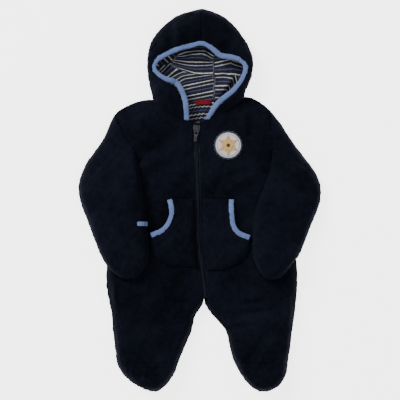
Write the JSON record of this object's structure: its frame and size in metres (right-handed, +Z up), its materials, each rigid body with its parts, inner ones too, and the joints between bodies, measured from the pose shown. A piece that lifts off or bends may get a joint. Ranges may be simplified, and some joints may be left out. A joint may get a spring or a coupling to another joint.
{
  "type": "hooded footed baby romper",
  "caption": "Hooded one-piece baby romper in navy plush with bound pockets, mitts, closed feet, a striped hood lining and a front zip, laid flat on its back.",
  "frame": {"origin": "middle of the laid-out garment's bounding box, on the table plane that its back lies on", "axes": "+X towards the wearer's left side, +Y from the feet to the hood, +Z up off the table, out of the garment's front"},
  "size_m": [0.417, 0.654, 0.0409],
  "materials": {
    "plush_navy": "deep-pile plush, matte",
    "lining_stripe": "thin striped jersey, matte",
    "rib_blue": "knitted rib binding, matte",
    "zip_tape": "woven tape, matte",
    "zip_teeth": "moulded coil, satin",
    "gunmetal": "dark gunmetal, semi-gloss",
    "label_red": "woven satin tape",
    "patch": "embroidered patch, matte"
  },
  "bodies": {
    "romper": {"hood_right": "plush_navy", "hood_left": "plush_navy", "hood_lining_right": "lining_stripe", "hood_lining_left": "lining_stripe", "hood_binding": "rib_blue", "back_lining": "lining_stripe", "neck_label": "label_red", "front_right": "plush_navy", "front_left": "plush_navy", "back_right": "plush_navy", "back_left": "plush_navy", "foot_upper_right": "plush_navy", "foot_upper_left": "plush_navy", "sole_right": "plush_navy", "sole_left": "plush_navy", "sleeve_upper_right": "plush_navy", "sleeve_upper_left": "plush_navy", "sleeve_under_right": "plush_navy", "sleeve_under_left": "plush_navy", "mitt_palm_right": "plush_navy", "mitt_palm_left": "plush_navy", "mitt_binding_right": "rib_blue", "mitt_binding_left": "rib_blue", "pocket_right": "plush_navy", "pocket_left": "plush_navy", "pocket_binding_right": "rib_blue", "pocket_binding_left": "rib_blue", "zip_tape_right": "zip_tape", "zip_tape_left": "zip_tape", "zip_teeth_right": "zip_teeth", "zip_teeth_left": "zip_teeth", "zip_slider": "gunmetal", "zip_stop": "gunmetal", "badge": "patch"},
    "zip_pull": {"zip_pull": "gunmetal"}
  },
  "joints": [
    {"name": "zip_pull_swing", "type": "hinge", "parent": "romper", "child": "zip_pull", "pos_m": [-0.0062, 0.1176, 0.022], "axis": [-0.9928, 0.1197, 0], "range_deg": [0, 130]}
  ]
}
